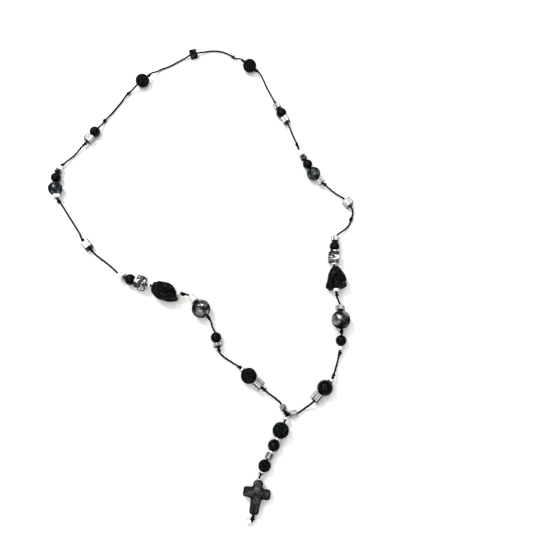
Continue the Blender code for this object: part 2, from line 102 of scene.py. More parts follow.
# A row is ("row", x, y, heading, height in, height out, main item, items), placed by its main item.
# An item is a bead of the model (name, kind, length, width, roll in degrees), a knot, or a stretch
# of open cord with the small beads that only this model has.
ROUTES = {
    "centre": [
        ("end", *RIGHT_FOOT),
        ("knot", 33.3, -57.3, 3.3, KNOT),
        ("row", 28.9, -63.3, 229, 4.0, 4.1, 1, [
            (1.5, [("silver_disc_right_1", "disc", 1.4, 3.3)]),
            ("onyx_right_4", "ball", MIDDLE_BALL, MIDDLE_BALL, 0),
            ("silver_cube_right_7", "cube", 4.2, 4.2, 35)]),
        ("via", 18.7, -72.9, 1.4),
        ("row", 13.1, -75.6, 188, 1.9, 2.0, 0, [
            ("silver_cube_right_8", "cube", 3.3, 3.3, 0)]),
        ("knot", *CENTRE, CENTRE_KNOT),
        ("row", 8.1, -72.6, 114, 2.0, 1.8, 0, [
            ("hematite_cube_left_1", "cube", 2.7, 2.7, 20)]),
        ("via", 4.9, -68.3, 1.2),
        ("row", -8.8, -57.3, 138, 4.0, 4.1, 2, [
            "knot",
            ("silver_cube_left_1", "cube", 4.2, 4.2, 35),
            ("lava_left_1", "ball", MIDDLE_BALL, MIDDLE_BALL, 0),
            (1.0, [("silver_disc_left_1", "disc", 1.0, 3.2)]),
            "knot"]),
        ("end", *LOWER_LEFT_START)],
    "lower_left": [
        ("end", *LOWER_LEFT_START),
        ("via", -20.4, -47.9, 1.5),
        ("row", -25.8, -37.2, 104, 2.9, 3.0, 2, [
            "knot",
            ("silver_cube_left_2", "cube", 1.9, 4.2, 20),
            ("onyx_left_1", "ball", 5.6, 5.6, 0)]),
        ("via", -27.9, -31.6, 2.8),
        ("row", -33.9, -22.3, 130, 4.8, 4.9, 1, [
            "knot",
            ("pearl_left_1", "ball", LARGE_BALL, LARGE_BALL, 0),
            ("silver_cube_left_3", "cube", 4.0, 4.0, 40)]),
        ("row", -53.8, -11.3, 165, 4.8, 4.8, 2, [
            "knot",
            (2.4, [("silver_cube_left_9", "cube", 2.1, 3.0)]),
            ("tourmaline_nugget_left", "nugget", 14.2, 10.6, 0),
            (2.1, [("silver_bead_left", "ball", 1.7, 2.6)])]),
        ("row", -72.2, -5.6, 160, 4.6, 3.45, 1, [
            ("quartz_cube_left", "cube", 6.0, 6.0, 30),
            ("onyx_left_2", "ball", SMALL_BALL, SMALL_BALL, 0)]),
        ("row", -76.95, -3.25, 145, 3.3, 2.3, 0, [
            ("silver_cube_left_4", "cube", 3.4, 3.9, 30)]),
        ("via", -82.2, 1.5, 0.9),
        ("end", *LOWER_LEFT_END)],
    "left_middle": [
        ("end", *LOWER_LEFT_END),
        ("row", -97.6, 15.0, 131, 2.5, 2.5, 1, [
            "knot",
            ("silver_cube_left_5", "cube", 4.4, 4.8, 0),
            "knot"]),
        ("end", *LEFT_FOOT)],
    "left_side": [
        ("end", *LEFT_FOOT),
        ("via", -109.4, 32.2, 0.8),
        ("knot", -116.0, 41.8, 3.1, KNOT),
        ("row", -119.1, 49.6, 105, 3.85, 4.0, 1, [
            ("silver_cube_left_6", "cube", 2.2, 3.6, 25),
            ("hematite_left_1", "ball", 7.8, 7.8, 0)]),
        ("row", -119.7, 56.9, 84, 3.8, 2.6, 0, [
            ("onyx_left_3", "ball", 5.8, 5.8, 0),
            ("hematite_left_2", "ball", 1.9, 4.0, 0),
            ("silver_cube_left_7", "cube", 2.5, 3.4, 20)]),
        ("knot", -117.6, 66.2, 1.9, KNOT),
        ("via", -111.9, 73.2, 1.0),
        ("knot", -106.3, 80.1, 2.5, KNOT),
        ("row", -100.9, 88.3, 58, 3.1, 3.2, 1, [
            ("silver_cube_left_8", "cube", 4.4, 4.6, 15),
            ("onyx_left_4", "ball", 6.2, 6.2, 0)]),
        ("knot", -96.4, 97.1, 1.4, KNOT),
        ("end", *LEFT_TOP)],
    "top_left": [
        ("end", *LEFT_TOP),
        ("via", -88.4, 110.4, 0.8),
        ("knot", -83.9, 117.4, 1.4, KNOT),
        ("row", -75.6, 124.8, 47, 4.1, 4.2, 0, [
            ("lava_left_2", "ball", 8.2, 8.2, 0),
            "knot"]),
        ("via", -66.6, 135.0, 1.0),
        ("via", -60.4, 138.4, 0.8),
        ("end", *TOP_START)],
    "top_stub": [
        ("end", *TOP_START),
        ("end", *TOP_FOLD)],
    "top": [
        ("end", *TOP_FOLD),
        ("row", -45.7, 146.8, 18, 2.3, 2.3, 0, [
            ("hematite_cube_top", "cube", 4.4, 4.4, 0)]),
        ("via", -37.6, 150.0, 0.9),
        ("via", -31.4, 150.5, 0.8),
        ("via", -26.0, 149.0, 0.9),
        ("knot", -20.9, 145.2, 1.5, KNOT),
        ("row", -10.4, 136.2, 317, 4.1, 4.2, 1, [
            "knot",
            ("lava_top", "ball", 8.2, 8.2, 0),
            "knot"]),
        ("via", 0.4, 121.6, 0.8),
        ("row", 8.9, 101.6, 296, 3.1, 3.1, 2, [
            "knot",
            ("silver_cube_right_1", "cube", 3.6, 3.8, 30),
            ("onyx_right_1", "ball", 6.2, 6.2, 0),
            ("silver_cube_right_2", "cube", 4.2, 4.2, 20)]),
        ("end", *TOP_END)],
    "right_high": [
        ("end", *TOP_END),
        ("knot", 18.0, 80.2, 1.4, KNOT),
        ("row", 23.6, 65.8, 295, 2.7, 3.6, 2, [
            ("silver_cube_right_3", "cube", 3.6, 3.8, 15),
            ("hematite_right_1", "ball", 3.2, 3.8, 0),
            ("onyx_right_2", "ball", 5.6, 5.6, 0)]),
        ("row", 26.8, 59.3, 303, 3.9, 4.0, 0, [
            ("hematite_right_2", "ball", 7.7, 7.7, 0)]),
        ("row", 30.55, 54.6, 318, 3.8, 3.1, 0, [
            ("silver_cube_right_4", "cube", 3.0, 3.6, 25),
            "knot"]),
        ("via", 39.0, 47.9, 1.2),
        ("row", 45.6, 41.2, 306, 2.4, 2.4, 0, [
            ("silver_cube_right_5", "cube", 4.4, 4.6, 0)]),
        ("via", 48.3, 36.0, 1.0),
        ("knot", 47.1, 31.5, 1.4, KNOT),
        ("end", *RIGHT_TOP)],
    "right_side": [
        ("end", *RIGHT_TOP),
        ("via", 38.1, 20.4, 2.9),
        ("row", 36.9, 13.9, 264, 3.3, 3.5, 1, [
            ("silver_cube_right_6", "cube", 2.8, 3.8, 20),
            ("onyx_right_5", "ball", 5.5, 5.5, 0),
            ("quartz_cube_right", "cube", 6.0, 6.0, 8)]),
        ("row", 36.4, -4.3, 272, 3.8, 4.6, 1, [
            (1.8, [("silver_bead_right", "ball", 1.5, 2.6)]),
            ("tourmaline_drop_right", "drop", 13.4, 10.4, 0),
            (2.0, [("silver_cube_right_10", "cube", 1.8, 3.0)]),
            "knot"]),
        ("row", 38.3, -28.2, 271, 4.85, 4.8, 1, [
            ("silver_cube_right_9", "cube", 2.6, 3.8, 40),
            ("pearl_right_1", "ball", LARGE_BALL, LARGE_BALL, 0),
            "knot"]),
        ("row", 38.0, -39.0, 263, 4.45, 2.6, 0, [
            ("onyx_right_3", "ball", 5.6, 5.6, 0),
            (2.0, [("silver_tube_right", "disc", 1.9, 3.5)])]),
        ("knot", 37.0, -45.5, 2.5, KNOT),
        ("end", *RIGHT_FOOT)],
    "pendant_link": [
        ("end", 9.48, -77.06, 3.9, 256),
        ("row", 9.17, -78.3, 256, 3.93, 4.05, 0, [
            ("silver_bead_pendant", "ball", 1.1, 2.9, 0)]),
        ("end", *PENDANT_LIFT)],
    "pendant": [
        ("end", *PENDANT_LIFT),
        ("row", 6.85, -83.85, 244.5, 4.27, 2.85, 0, [
            ("lava_pendant_1", "ball", MIDDLE_BALL, MIDDLE_BALL, 0),
            (0.8, [("silver_disc_pendant_1", "disc", 1.0, 3.2)]),
            ("onyx_pendant", "ball", 5.9, 5.9, 0),
            (0.8, [("silver_disc_pendant_2", "disc", 1.0, 3.2)]),
            ("hematite_drum_pendant", "drum", 3.2, 3.6, 0),
            ("lava_pendant_2", "ball", SMALL_BALL, SMALL_BALL, 0),
            (1.4, [("silver_disc_pendant_3", "disc", 0.6, 2.9), ("onyx_seed_pendant", "ball", 0.8, 2.5)])]),
        ("end", *CROSS_SWING)],
    "cross": [
        ("end", *CROSS_SWING),
        ("row", -4.8, -114.1, 261, 2.35, 2.25, 1, [
            (0.9, [("silver_bead_cross", "ball", 0.85, 3.0)]),
            ("stone_cross", "cross", CROSS[0], CROSS[1], 0),
            "knot"]),
        ("row", -8.2, -124.7, 192, 1.75, 1.6, 0, [
            ("silver_cube_pendant", "cube", 2.5, 2.5, 0)]),
        ("end", -10.2, -125.15, 1.5, 192)],
}


def point(x, y, z):
    """A layout point in the row frame, in metres."""
    return Vector(((x - ORIGIN[0]) * MM, (y - ORIGIN[1]) * MM, z * MM))


def towards(heading):
    return Vector((cos(radians(heading)), sin(radians(heading)), 0.0))


def item_length(item):
    if item == "knot":
        return 2 * KNOT_HALF
    return item[0] if isinstance(item[0], float) else item[2]


def laid_row(x, y, heading, z_in, z_out, main, items):
    """A straight row: its two ends, its direction, and its items with their centres."""
    places, along, last_open = [], 0.0, True
    for item in items:
        is_open = item != "knot" and isinstance(item[0], float)
        if not is_open and not last_open:
            along += GAP
        places.append((item, along + item_length(item) / 2))
        along += item_length(item)
        last_open = is_open
    level = towards(heading) * MM
    start = point(x, y, z_in) - level * places[main][1]
    finish = start + level * along + Vector((0, 0, (z_out - z_in) * MM))
    return start, finish, (finish - start).normalized(), [
        (item, start.lerp(finish, d / along)) for item, d in places]


def stations(route):
    """A route as straight pieces: start, finish, direction, and its items with their centres."""
    places = []
    for kind, *values in route:
        if kind == "row":
            places.append(list(laid_row(*values)))
        else:
            at = point(*values[:3])
            way = towards(values[3]) if kind == "end" else None
            places.append([at, at.copy(), way, [("knot", at)] if kind == "knot" else []])
    for k, place in enumerate(places):
        if place[2] is None:
            way = places[k + 1][0] - places[k - 1][1]
            way.z = 0.0
            place[2] = way.normalized()
            if place[3]:
                place[0] = place[0] - place[2] * KNOT_HALF * MM
                place[1] = place[1] + place[2] * KNOT_HALF * MM
    return places


def bend(start, way_in, finish, way_out):
    """Points of a smooth free stretch between two straight pieces, without its two ends."""
    span = (finish - start).length
    count = max(2, ceil(span / (CORD_STEP * MM)))
    points = []
    for k in range(1, count):
        t = k / count
        a = 2 * t**3 - 3 * t**2 + 1
        b = t**3 - 2 * t**2 + t
        c = -2 * t**3 + 3 * t**2
        d = t**3 - t**2
        points.append(start * a + way_in * (span * b) + finish * c + way_out * (span * d))
    return points


def centreline(route):
    """The cord's centreline along a route."""
    places = stations(route)
    points = []
    for k, (start, finish, way, _) in enumerate(places):
        points.append(start)
        if finish != start:
            steps = max(1, ceil((finish - start).length / (2.5 * MM)))
            points += [start.lerp(finish, j / steps) for j in range(1, steps + 1)]
        if k < len(places) - 1:
            points += bend(finish, way, places[k + 1][0], places[k + 1][2])
    return points


# ---------------------------------------------------------------- camera
ELEVATION = 67.6
DISTANCE = 0.334
FOCAL_LENGTH = 40.95
SENSOR_WIDTH = 36.0
look_at = point(0.0, 0.0, 0.0)
camera = bpy.data.objects.new("camera", bpy.data.cameras.new("camera"))
camera.data.lens = FOCAL_LENGTH
camera.data.sensor_width = SENSOR_WIDTH
camera.data.clip_start = 0.01
camera.location = look_at + Vector(
    (0.0, -cos(radians(ELEVATION)), sin(radians(ELEVATION)))) * DISTANCE
camera.rotation_euler = (look_at - camera.location).to_track_quat("-Z", "Y").to_euler()
bpy.context.scene.collection.objects.link(camera)
bpy.context.scene.camera = camera


# ---------------------------------------------------------------- materials
def node_material(name, base, rough, metallic=0.0, **sockets):
    made = bpy.data.materials.new(name)
    made.use_nodes = True
    tree = made.node_tree
    shader = tree.nodes["Principled BSDF"]
    shader.inputs["Base Color"].default_value = (*base, 1.0)
    shader.inputs["Roughness"].default_value = rough
    shader.inputs["Metallic"].default_value = metallic
    for key, value in sockets.items():
        shader.inputs[key.replace("_", " ")].default_value = value
    return made, tree, shader


def add(tree, kind, **values):
    node = tree.nodes.new(kind)
    for key, value in values.items():
        if key in node.inputs:
            node.inputs[key].default_value = value
        else:
            setattr(node, key, value)
    return node


def coordinates(tree, stretch=(1, 1, 1)):
    place = add(tree, "ShaderNodeTexCoord")
    mapping = add(tree, "ShaderNodeMapping")
    mapping.inputs["Scale"].default_value = stretch
    tree.links.new(place.outputs["Object"], mapping.inputs["Vector"])
    return mapping.outputs["Vector"]


def noise_of(tree, vector, scale, detail=4.0, rough=0.55, distortion=0.0):
    node = add(tree, "ShaderNodeTexNoise", Scale=scale, Detail=detail, Roughness=rough,
               Distortion=distortion)
    tree.links.new(vector, node.inputs["Vector"])
    return node.outputs["Fac"]


def ramp(tree, value, stops):
    node = add(tree, "ShaderNodeValToRGB")
    while len(node.color_ramp.elements) < len(stops):
        node.color_ramp.elements.new(0.5)
    for element, (at, colour) in zip(node.color_ramp.elements, stops):
        element.position = at
        element.color = (*colour, 1.0) if len(colour) == 3 else colour
    tree.links.new(value, node.inputs["Fac"])
    return node.outputs["Color"]


def grey(value):
    return (value, value, value)


def paint(tree, shader, socket, value, stops):
    tree.links.new(ramp(tree, value, stops), shader.inputs[socket])


def bump(tree, shader, height, strength, distance):
    node = add(tree, "ShaderNodeBump", Strength=strength, Distance=distance)
    tree.links.new(height, node.inputs["Height"])
    tree.links.new(node.outputs["Normal"], shader.inputs["Normal"])


def facing(tree, axis):
    """How squarely a face looks along an axis of its piece, from 0 to 1."""
    place = add(tree, "ShaderNodeTexCoord")
    parts = add(tree, "ShaderNodeSeparateXYZ")
    tree.links.new(place.outputs["Normal"], parts.inputs[0])
    size = add(tree, "ShaderNodeMath", operation="ABSOLUTE")
    tree.links.new(parts.outputs[axis], size.inputs[0])
    return size.outputs[0]


def multiplied(tree, shader, colour, shade):
    mix = add(tree, "ShaderNodeMix", data_type="RGBA", blend_type="MULTIPLY")
    mix.inputs[0].default_value = 1.0
    tree.links.new(colour, mix.inputs[6])
    tree.links.new(shade, mix.inputs[7])
    tree.links.new(mix.outputs[2], shader.inputs["Base Color"])


def cord_material():
    made, tree, shader = node_material("waxed_cord", (0.003, 0.003, 0.003), 0.5, Specular_IOR_Level=0.05)
    where = coordinates(tree)
    wax = noise_of(tree, where, 900.0)
    paint(tree, shader, "Base Color", wax, [
        (0.3, (0.0012, 0.0014, 0.0011)), (0.75, (0.0045, 0.0050, 0.0038))])
    paint(tree, shader, "Roughness", wax, [(0.3, grey(0.42)), (0.7, grey(0.65))])
    bump(tree, shader, noise_of(tree, where, 5200.0, 2.0), 0.4, 0.00006)
    return made


def lava_material():
    made, tree, shader = node_material("lava_stone", (0.004, 0.005, 0.006), 0.8, Specular_IOR_Level=0.03)
    where = coordinates(tree)
    broad = noise_of(tree, where, 800.0, 5.0, 0.72)
    paint(tree, shader, "Base Color", broad, [
        (0.40, (0.0004, 0.0005, 0.0006)), (0.50, (0.0022, 0.0030, 0.0034)),
        (0.58, (0.0095, 0.0120, 0.0135)), (0.70, (0.040, 0.048, 0.052))])
    paint(tree, shader, "Roughness", broad, [(0.3, grey(0.9)), (0.8, grey(0.6))])
    bump(tree, shader, noise_of(tree, where, 2600.0, 4.0, 0.7), 0.6, 0.00014)
    return made


def onyx_material():
    made, tree, shader = node_material("onyx", (0.001, 0.001, 0.001), 0.1, Specular_IOR_Level=0.085)
    where = coordinates(tree)
    cloud = noise_of(tree, where, 260.0, 3.0)
    paint(tree, shader, "Base Color", cloud, [(0.4, grey(0.0006)), (0.8, (0.0022, 0.0022, 0.0026))])
    paint(tree, shader, "Roughness", noise_of(tree, where, 1800.0, 3.0),
          [(0.35, grey(0.05)), (0.8, grey(0.13))])
    return made


def pearl_material():
    made, tree, shader = node_material("dark_pearl", (0.2, 0.2, 0.19), 0.3, 0.9,
                                       Specular_Tint=(0.05, 0.05, 0.05, 1.0))
    where = coordinates(tree)
    swirl = noise_of(tree, where, 110.0, 2.5, 0.5, 2.4)
    paint(tree, shader, "Base Color", swirl, [
        (0.38, (0.012, 0.012, 0.0115)), (0.48, (0.040, 0.040, 0.0385)),
        (0.55, (0.11, 0.11, 0.107)), (0.66, (0.38, 0.38, 0.368))])
    paint(tree, shader, "Roughness", swirl, [(0.3, grey(0.20)), (0.8, grey(0.32))])
    bump(tree, shader, noise_of(tree, where, 1500.0, 3.0), 0.12, 0.00004)
    return made


def hematite_material(name, depth):
    """Polished hematite; depth scales its brightness."""
    made, tree, shader = node_material(name, (0.04, 0.047, 0.05), 0.3, 0.85,
                                       Specular_IOR_Level=0.2, Specular_Tint=(0.2, 0.22, 0.23, 1.0))
    where = coordinates(tree)
    cloud = noise_of(tree, where, 480.0, 5.0, 0.7)
    colours = [(0.38, (0.005, 0.0066, 0.0070)), (0.50, (0.026, 0.035, 0.037)),
               (0.58, (0.090, 0.112, 0.116)), (0.72, (0.36, 0.41, 0.41))]
    paint(tree, shader, "Base Color", cloud, [
        (at, tuple(c * depth for c in colour)) for at, colour in colours])
    paint(tree, shader, "Roughness", cloud, [(0.3, grey(0.18)), (0.8, grey(0.36))])
    bump(tree, shader, noise_of(tree, where, 2400.0, 3.0), 0.25, 0.00005)
    return made


def drum_material():
    made, tree, shader = node_material("burnished_hematite", (0.2, 0.22, 0.24), 0.3, 0.8,
                                       Specular_Tint=(0.3, 0.3, 0.3, 1.0))
    where = coordinates(tree, (1.0, 1.0, 0.2))
    lines = noise_of(tree, where, 900.0, 4.0, 0.65)
    paint(tree, shader, "Base Color", lines, [
        (0.38, (0.022, 0.027, 0.030)), (0.48, (0.16, 0.185, 0.195)), (0.60, (0.50, 0.54, 0.55))])
    paint(tree, shader, "Roughness", lines, [(0.3, grey(0.45)), (0.7, grey(0.28))])
    bump(tree, shader, lines, 0.4, 0.00012)
    return made


def silver_material(name, lines_stops, metallic, painted_end_shade):
    """Cut silver: lines along the cord, and end faces darkened as painted shade."""
    made, tree, shader = node_material(name, (0.6, 0.6, 0.57), 0.35, metallic)
    where = coordinates(tree, (1.0, 1.0, 0.05))
    lines = noise_of(tree, where, 1150.0, 3.0, 0.6)
    # painted shade: faces that look along the hole, the bead's two ends, are darkened
    ends = ramp(tree, facing(tree, "Z"), [(0.55, grey(1.0)), (0.85, grey(painted_end_shade))])
    multiplied(tree, shader, ramp(tree, lines, lines_stops), ends)
    paint(tree, shader, "Roughness", lines, [(0.3, grey(0.6)), (0.7, grey(0.36))])
    bump(tree, shader, lines, 0.55, 0.00016)
    return made


def quartz_material():
    made, tree, shader = node_material("tourmalinated_quartz", (0.4, 0.4, 0.39), 0.12,
                                       Specular_IOR_Level=0.2, Transmission_Weight=0.04)
    where = coordinates(tree)
    milky = noise_of(tree, where, 230.0, 3.0, 0.6, 0.6)
    needles = noise_of(tree, coordinates(tree, (0.5, 0.5, 1.6)), 260.0, 3.0, 0.6, 1.2)
    cloud = ramp(tree, milky, [(0.42, (0.012, 0.013, 0.013)), (0.47, (0.10, 0.10, 0.098)),
                               (0.50, (0.45, 0.45, 0.43)), (0.56, (0.92, 0.92, 0.90))])
    dark = ramp(tree, needles, [(0.455, grey(0.01)), (0.485, grey(1.0))])
    multiplied(tree, shader, cloud, dark)
    bump(tree, shader, milky, 0.15, 0.0001)
    return made


def tourmaline_material():
    made, tree, shader = node_material("black_tourmaline", (0.003, 0.003, 0.003), 0.4,
                                       Specular_IOR_Level=0.05)
    where = coordinates(tree, (1.0, 1.0, 0.30))
    grain = noise_of(tree, where, 950.0, 6.0, 0.76)
    paint(tree, shader, "Base Color", grain, [
        (0.46, grey(0.0003)), (0.54, grey(0.0012)), (0.59, grey(0.014)), (0.68, grey(0.13))])
    paint(tree, shader, "Roughness", grain, [(0.3, grey(0.38)), (0.8, grey(0.7))])
    bump(tree, shader, grain, 0.8, 0.0004)
    return made


def cross_material():
    made, tree, shader = node_material("charcoal_stone", (0.04, 0.038, 0.04), 0.7, Specular_IOR_Level=0.06)
    where = coordinates(tree)
    marble = noise_of(tree, where, 330.0, 6.0, 0.68, 0.6)
    stone = ramp(tree, marble, [
        (0.38, (0.0050, 0.0047, 0.0052)), (0.48, (0.0180, 0.0168, 0.0180)),
        (0.57, (0.040, 0.0365, 0.0375)), (0.70, (0.150, 0.138, 0.130))])
    # painted shade: the sides and bevels, all but the two flat faces, are darkened almost to black for a
    # dark outline
    flat = ramp(tree, facing(tree, "Y"), [(0.90, grey(0.015)), (0.985, grey(1.0))])
    multiplied(tree, shader, stone, flat)
    paint(tree, shader, "Roughness", marble, [(0.3, grey(0.55)), (0.8, grey(0.8))])
    bump(tree, shader, noise_of(tree, where, 1900.0, 4.0, 0.6), 0.35, 0.00015)
    return made


MATERIALS = {
    "cord": cord_material(),
    "lava": lava_material(),
    "onyx": onyx_material(),
    "pearl": pearl_material(),
    "hematite": hematite_material("hematite", 1.0),
    "dark": hematite_material("dark_hematite", 0.35),
    # the last number of each silver sets how dark its ends are painted, as painted shade
    "silver": silver_material("striated_silver", [
        (0.40, (0.018, 0.018, 0.017)), (0.46, (0.22, 0.22, 0.21)),
        (0.53, (0.52, 0.52, 0.50)), (0.66, (0.90, 0.90, 0.87))], 0.7, 0.10),
    "bright": silver_material("pale_silver", [
        (0.34, (0.20, 0.195, 0.18)), (0.44, (0.72, 0.71, 0.67)), (0.60, (0.92, 0.91, 0.87))], 0.2, 0.75),
    "quartz": quartz_material(),
    "tourmaline": tourmaline_material(),
    "stone": cross_material(),
    "drum": drum_material(),
}
# pieces that look unlike the rest of their kind
LOOKS = {
    "hematite_drum_pendant": "drum",
    "hematite_cube_left_1": "drum",
    "hematite_cube_top": "dark",
    "silver_cube_left_4": "bright",
    "silver_cube_left_6": "bright",
    "silver_cube_left_7": "bright",
    "silver_bead_pendant": "bright",
    "silver_cube_pendant": "bright",
    "silver_cube_left_3": "bright",
    "silver_cube_right_3": "bright",
}
# this bead is longer than the model's, which leaves its link of the cord room to turn
LONGER = {"silver_bead_pendant": 1.9}


# ---------------------------------------------------------------- meshes
def mesh_object(name, verts, faces):
    mesh = bpy.data.meshes.new(name)
    mesh.from_pydata(verts, [], faces)
    mesh.update()
    made = bpy.data.objects.new(name, mesh)
    bpy.context.scene.collection.objects.link(made)
    return made


def finish_piece(made, kind, body, sharp=50):
    made.data.materials.clear()
    made.data.materials.append(MATERIALS[kind])
    made.data.shade_smooth()
    if sharp:
        made.data.set_sharp_from_angle(angle=radians(sharp))
    if body:
        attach(made, body)
    return made


def swept(name, path, ring_at, sides):
    """A tube along a path; ring_at(distance, angle) gives its radius."""
    verts, faces = [], []
    way = (path[1] - path[0]).normalized()
    side = way.orthogonal().normalized()
    along = 0.0
    for k, at in enumerate(path):
        if k > 0:
            along += (at - path[k - 1]).length
        if 0 < k < len(path) - 1:
            way = (path[k + 1] - path[k - 1]).normalized()
        elif k:
            way = (path[-1] - path[-2]).normalized()
        side = (side - way * side.dot(way)).normalized()
        other = way.cross(side)
        for j in range(sides):
            angle = 2 * pi * j / sides
            radius = ring_at(along, angle)
            verts.append(at + side * (radius * cos(angle)) + other * (radius * sin(angle)))
    for k in range(len(path) - 1):
        for j in range(sides):
            n = (j + 1) % sides
            faces.append((k * sides + j, k * sides + n, (k + 1) * sides + n, (k + 1) * sides + j))
    faces.append(tuple(range(sides - 1, -1, -1)))
    faces.append(tuple((len(path) - 1) * sides + j for j in range(sides)))
    return mesh_object(name, verts, faces)


def resampled(points, step):
    """Points at an even spacing on a smooth curve through the given ones."""
    kept = [points[0]]
    for p in points[1:]:
        if (p - kept[-1]).length > 0.05 * MM:
            kept.append(p)
    dense = []
    for k in range(len(kept) - 1):
        a = kept[max(k - 1, 0)]
        b, c = kept[k], kept[k + 1]
        d = kept[min(k + 2, len(kept) - 1)]
        n = max(2, ceil((c - b).length / (step * 0.5)))
        for j in range(n):
            t = j / n
            dense.append(0.5 * (2 * b + (c - a) * t + (2 * a - 5 * b + 4 * c - d) * t * t
                                + (3 * b - a - 3 * c + d) * t**3))
    dense.append(kept[-1])
    total = sum((q - p).length for p, q in zip(dense, dense[1:]))
    count = max(2, round(total / step))
    wanted, k, travelled = [], 0, 0.0
    for j in range(count + 1):
        target = total * j / count
        while k < len(dense) - 2 and travelled + (dense[k + 1] - dense[k]).length < target:
            travelled += (dense[k + 1] - dense[k]).length
            k += 1
        piece = (dense[k + 1] - dense[k]).length
        wanted.append(dense[k].lerp(dense[k + 1], min(1.0, (target - travelled) / piece)))
    return wanted, total


def ply(along, angle, radius=PLY_RADIUS, relief=PLY_RELIEF):
    """Radius of the twisted cord, at a distance along it and an angle round it."""
    return (radius + relief * cos(PLIES * angle - along / MM * PLY_TWIST)) * MM


# ---------------------------------------------------------------- the cord
lines = {body: centreline(route) for body, route in ROUTES.items()}


def index_near(points, place):
    return min(range(len(points)), key=lambda k: (points[k] - place).length)


def cut(body, first=None, last=None):
    """A body's centreline between the points nearest two places."""
    points = lines[body]
    a = index_near(points, first) if first else 0
    b = index_near(points, last) if last else len(points) - 1
    return points[a:b + 1]


at = {j["name"][:-5]: Vector(j["pos_m"]) for j in frame["joints"] if j["name"].endswith("_spin")}
pivot = {j["name"]: Vector(j["pos_m"]) for j in frame["joints"]}
centre_knot = point(*CENTRE[:3])
stub_middle = (point(*TOP_START[:3]) + point(*TOP_FOLD[:3])) / 2
upper_knot = point(-83.9, 117.4, 1.4)

CORDS = [
    ("cord_lower_left_run", "centre", "lower_left", "loop_slant",
     cut("centre", centre_knot) + cut("lower_left", None, at["pearl_left_1"])[1:]),
    ("cord_left_low_run", "lower_left", "left_middle", "left_middle_turn",
     cut("lower_left", at["pearl_left_1"]) + cut("left_middle", None, at["silver_cube_left_5"])[1:]),
    ("cord_left_foot_run", "left_middle", "left_side", "left_side_turn",
     cut("left_middle", at["silver_cube_left_5"]) + cut("left_side", None, at["hematite_left_1"])[1:]),
    ("cord_left_high_run", "left_side", "top_left", "top_left_turn",
     cut("left_side", at["hematite_left_1"]) + cut("top_left", None, upper_knot)[1:]),
    ("cord_top_left_run", "top_left", "top_stub", "top_stub_turn",
     cut("top_left", upper_knot) + [stub_middle]),
    ("cord_top_run", "top_stub", "top", "top_fold",
     [stub_middle] + cut("top", None, at["lava_top"])),
    ("cord_top_right_run", "top", None, None, cut("top", at["lava_top"])),
    ("cord_right_high_run", "right_high", None, None,
     cut("right_high", None, at["silver_cube_right_5"])),
    ("cord_right_turn_run", "right_high", "right_side", "right_high_turn",
     cut("right_high", at["silver_cube_right_5"]) + cut("right_side", None, at["quartz_cube_right"])[1:]),
    ("cord_right_low_run", "right_side", "centre", "loop_sway",
     cut("right_side", at["quartz_cube_right"]) + cut("centre", None, centre_knot)[1:]),
    ("cord_pendant_run", "pendant_link", "pendant", "pendant_lift",
     cut("pendant_link", at["silver_bead_pendant"]) + cut("pendant")[1:]),
]
# Lengths under the 30 mm that a declared cord needs: from the centre knot into the first bead of the
# pendant, and through the cross to its end knot.
STUBS = [
    ("cord_pendant_stub", "centre", "pendant_link", "pendant_swing",
     [centre_knot] + cut("pendant_link", None, at["silver_bead_pendant"])),
    ("cord_cross_stub", "cross", None, None, cut("cross", None, at["silver_cube_pendant"])),
]
REPLACED = {
    "cord_lower_left_run": ["cord_centre"],
    "cord_left_low_run": ["cord_lower_left"],
    "cord_left_foot_run": ["cord_left_middle"],
    "cord_left_high_run": ["cord_left_side"],
    "cord_top_left_run": ["cord_top_left", "cord_top_stub"],
    "cord_top_run": ["cord_top"],
    "cord_right_high_run": ["cord_right_high"],
    "cord_right_low_run": ["cord_right_side"],
    "cord_pendant_run": ["cord_pendant"],
    "cord_pendant_stub": ["cord_pendant_link"],
    "cord_cross_stub": ["cord_cross"],
}

for name, body, other, joint, points in CORDS + STUBS:
    path, total = resampled(points, PATH_STEP * MM)
    made = swept(name, path, ply, 12)
    finish_piece(made, "cord", None if other else body, sharp=0)
    if other:
        k = index_near(path, pivot[joint])
        way = (path[min(k + 3, len(path) - 1)] - path[max(k - 3, 0)]).normalized()
        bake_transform(made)
    if REPLACED.get(name):
        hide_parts(*REPLACED[name])


# ---------------------------------------------------------------- knots
def knot_path(size):
    """An overhand knot pulled tight, lying along Z: three crossings wound into a small lump."""
    points = []
    count = 60
    for k in range(count + 1):
        t = k / count
        turn = 2 * pi * 2.0 * (t - 0.5)
        inside = sin(pi * t) ** 0.6
        radius = size * inside * (0.72 + 0.28 * cos(2 * pi * 3 * (t - 0.5)))
        rise = (t - 0.5) * 2.6 + 0.62 * sin(2 * pi * 2 * t) * inside
        points.append(Vector((radius * cos(turn), radius * sin(turn), rise)) * MM)
    return points


def knot_ply(along, angle):
    return ply(along, angle, KNOT_PLY_RADIUS, KNOT_PLY_RELIEF)


def knot(name, centre, way, body, size, turn):
    path, _ = resampled(knot_path(size), KNOT_PATH_STEP * MM)
    made = swept(name, path, knot_ply, 10)
    made.matrix_world = Matrix.Translation(centre) @ (
        way.to_track_quat("Z", "Y").to_matrix().to_4x4()) @ Matrix.Rotation(turn, 4, "Z")
    return finish_piece(made, "cord", body, sharp=0)


# ---------------------------------------------------------------- beads
def lathe(name, profile, sides):
    """A closed profile (radius, height) in millimetres turned about Z."""
    count = len(profile)
    verts = []
    for j in range(sides):
        angle = 2 * pi * j / sides
        verts += [Vector((r * cos(angle), r * sin(angle), z)) * MM for r, z in profile]
    faces = []
    for j in range(sides):
        n = (j + 1) % sides
        for k in range(count):
            m = (k + 1) % count
            faces.append((j * count + k, j * count + m, n * count + m, n * count + k))
    return mesh_object(name, verts, faces)


